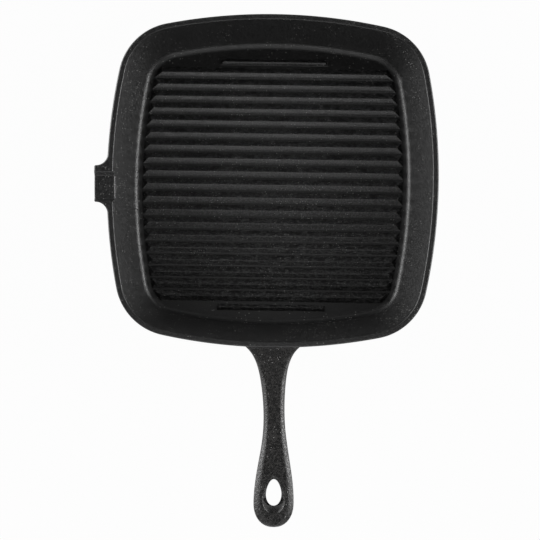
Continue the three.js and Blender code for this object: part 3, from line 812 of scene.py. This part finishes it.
# Each lamp's name, azimuth and elevation from the pan in degrees, distance, width, height, and brightness,
# which is 1 for white paper. Together they light a level white card at the pan to between 0.8 and 0.95
LAMPS = [
    ("left_low", 167, 8, 2.0, 1.5, 0.4, 19.5),
    ("left_middle", 167, 20, 2.0, 1.4, 0.42, 13.0),
    ("left_high", 180, 38, 2.0, 1.2, 0.9, 0.4),
    ("right_low", 5, 8, 2.0, 1.5, 0.4, 17.5),
    ("right_middle", 5, 20, 2.0, 1.4, 0.42, 10.5),
    ("right_card", 0, 24, 0.4, 0.36, 0.11, 2.0),
    ("handle_low", 265, 14, 2.0, 1.2, 0.45, 2.2),
    ("handle_card", 270, 26, 0.45, 0.36, 0.12, 1.9),
    ("handle_high", 270, 48, 2.0, 1.2, 0.9, 1.5),
    ("overhead_card", 270, 78, 0.41, 0.2, 0.2, 0.7),
    ("far_low", 90, 16, 2.0, 1.2, 0.5, 0.2),
    ("far_high", 90, 46, 2.0, 1.0, 0.6, 1.0),
    ("far_left", 135, 14, 2.0, 1.1, 0.45, 1.0),
    ("far_right", 45, 14, 2.0, 1.1, 0.45, 0.9),
]
WORLD_BRIGHTNESS = 0.0  # all light comes from the lamps


def add_lamp(scene, name, azimuth, elevation, distance, width, height, brightness):
    """A soft rectangular lamp that faces the middle of the pan from an azimuth and an elevation.

    Its watts are its brightness times pi times its area.
    """
    data = bpy.data.lights.new(name, "AREA")
    data.shape = "RECTANGLE"
    data.size = width
    data.size_y = height
    data.energy = brightness * math.pi * width * height
    lamp = bpy.data.objects.new(name, data)
    turn, climb = math.radians(azimuth), math.radians(elevation)
    away = Vector((math.cos(climb) * math.cos(turn), math.cos(climb) * math.sin(turn), math.sin(climb)))
    lamp.location = away * distance
    lamp.rotation_euler = away.to_track_quat("Z", "Y").to_euler()
    lamp.visible_camera = False
    scene.collection.objects.link(lamp)


def add_floor(scene, stage):
    """A wide floor just under the pan."""
    half = 20.0
    level = -0.1 * MM
    corners = [(-half, -half, level), (half, -half, level), (half, half, level), (-half, half, level)]
    mesh = bpy.data.meshes.new("floor")
    mesh.from_pydata(corners, [], [(0, 1, 2, 3)])
    mesh.materials.append(studio_paper(stage))
    floor = bpy.data.objects.new("floor", mesh)
    scene.collection.objects.link(floor)


# Operators

class GRILLPAN_OT_body(bpy.types.Operator):
    """Build the pan body with its pour spout"""

    bl_idname = "grill_pan.body"
    bl_label = "Pan Body"

    def execute(self, context):
        pan = context.scene.grill_pan
        points = body_points(pan.body, pan.spout)
        faces = grid_faces(*points.shape[:2], close_columns=True)
        iron = seasoned_iron("Seasoned cast iron", pan.iron, "body")
        make_piece("body_casting", points, faces, iron, ["pan_body", "pour_spout"])
        return {"FINISHED"}


class GRILLPAN_OT_handle(bpy.types.Operator):
    """Build the handle with its hanging hole"""

    bl_idname = "grill_pan.handle"
    bl_label = "Handle"

    def execute(self, context):
        pan = context.scene.grill_pan
        half, middle, at_hole = handle_points(pan.body, pan.handle)
        rows, columns = half.shape[:2]
        faces = handle_faces(rows, columns, at_hole)
        centre = middle[:, None, None] * [1, 0, 0]
        points = np.concatenate([half + centre, half * [-1, 1, 1] + centre])
        faces = np.concatenate([faces, faces[:, ::-1] + rows * columns])
        iron = seasoned_iron("Coarse cast iron", pan.iron, "handle")
        make_piece("handle_casting", points, faces, iron, ["handle"])
        return {"FINISHED"}


class GRILLPAN_OT_ribs(bpy.types.Operator):
    """Build the grill ribs, one piece for each solid"""

    bl_idname = "grill_pan.ribs"
    bl_label = "Grill Ribs"

    def execute(self, context):
        pan = context.scene.grill_pan
        iron = seasoned_iron("Ridged cast iron", pan.iron, "rib")
        field = floor_edge(pan.body) + pan.ribs.end_gap
        for node in RIB_NODES + END_RIB_NODES:
            low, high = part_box(node)
            if node in END_RIB_NODES:
                share, half_length = pan.ribs.end_share, partial(np.full_like, fill_value=high.x)
            else:
                share, half_length = 1, partial(half_chord, pan.body, field)
            foot = (high.y - low.y) * share
            profile = rib_profile(pan.ribs, foot, (high.z - low.z) * share)
            points = rib_points(profile, foot, (low.y + high.y) / 2, low.z, half_length)
            faces = grid_faces(*points.shape[:2], close_columns=True)
            make_piece(node.replace("rib", "ridge"), points, faces, iron, [node])
        return {"FINISHED"}


class GRILLPAN_OT_stage(bpy.types.Operator):
    """Build the camera, the lights and the floor"""

    bl_idname = "grill_pan.stage"
    bl_label = "Stage"

    def execute(self, context):
        scene = context.scene
        stage = scene.grill_pan.stage
        scene.view_settings.view_transform = "Standard"
        lens = bpy.data.cameras.new("camera")
        lens.sensor_width = SENSOR_WIDTH
        lens.lens = lens.sensor_width * stage.focal / PHOTO_WIDTH
        camera = bpy.data.objects.new("camera", lens)
        camera.location = (stage.camera_x, stage.camera_y, stage.camera_height)
        camera.rotation_euler = (0, 0, stage.roll)
        scene.collection.objects.link(camera)
        scene.camera = camera
        add_floor(scene, stage)
        for lamp in LAMPS:
            add_lamp(scene, *lamp)
        world = bpy.data.worlds.new("studio")
        world.use_nodes = True
        world.node_tree.nodes["Background"].inputs["Strength"].default_value = WORLD_BRIGHTNESS
        scene.world = world
        return {"FINISHED"}


class GRILLPAN_PT_tools(bpy.types.Panel):
    """Buttons for the pan's pieces"""

    bl_label = "Square Grill Pan"
    bl_space_type = "VIEW_3D"
    bl_region_type = "UI"
    bl_category = "Grill Pan"

    def draw(self, context):
        for operator in OPERATORS:
            self.layout.operator(operator.bl_idname)


OPERATORS = (GRILLPAN_OT_stage, GRILLPAN_OT_body, GRILLPAN_OT_handle, GRILLPAN_OT_ribs)
SETTINGS = (
    BodySettings, SpoutSettings, RibSettings, HandleSettings, IronSettings, StageSettings, GrillPanSettings)
CLASSES = SETTINGS + OPERATORS + (GRILLPAN_PT_tools,)


def register():
    """Register the classes and hang the settings on the scene."""
    for cls in CLASSES:
        bpy.utils.register_class(cls)
    bpy.types.Scene.grill_pan = bpy.props.PointerProperty(type=GrillPanSettings)


def unregister():
    """Undo what register did."""
    del bpy.types.Scene.grill_pan
    for cls in reversed(CLASSES):
        bpy.utils.unregister_class(cls)


def main():
    """Build everything."""
    register()
    bpy.ops.grill_pan.stage()
    bpy.ops.grill_pan.body()
    bpy.ops.grill_pan.handle()
    bpy.ops.grill_pan.ribs()


if __name__ == "__main__":
    main()
